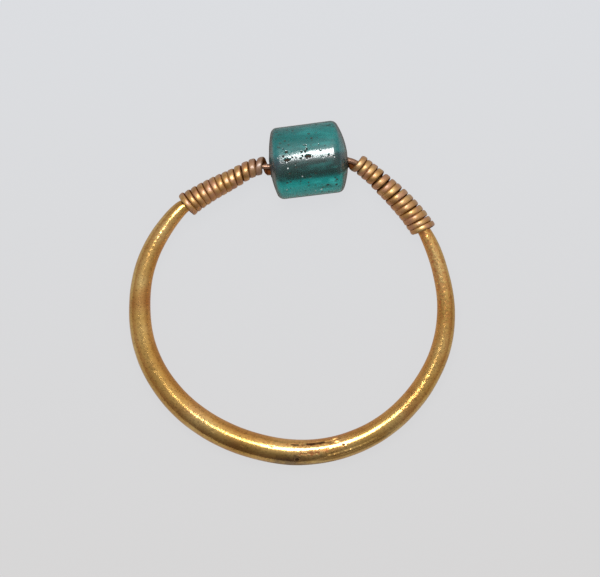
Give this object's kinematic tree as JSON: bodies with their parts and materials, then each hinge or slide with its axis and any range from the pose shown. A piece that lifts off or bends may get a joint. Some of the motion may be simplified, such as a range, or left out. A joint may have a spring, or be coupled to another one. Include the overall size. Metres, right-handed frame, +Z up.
{
  "type": "beryl ring",
  "caption": "Finger ring: a tapered gold hoop whose wire ends pass through a drilled cylindrical beryl bead and are wound round the shoulders.",
  "frame": {"origin": "middle of the ring's footprint on the surface that it lies on", "axes": "+Z up, across the finger hole; +Y from the back of the hoop to the bead; +X to the right as seen from above"},
  "size_m": [0.0196, 0.0207, 0.0043],
  "materials": {
    "gold_rod": "satin, hammered and worn high-carat gold",
    "gold_wire": "satin, drawn gold wire, reddish, browned near the bead",
    "beryl": "worn polish, pitted, translucent"
  },
  "bodies": {
    "root": {"hoop": "gold_rod", "winding_left": "gold_wire", "winding_right": "gold_wire", "bead": "beryl"}
  },
  "joints": []
}
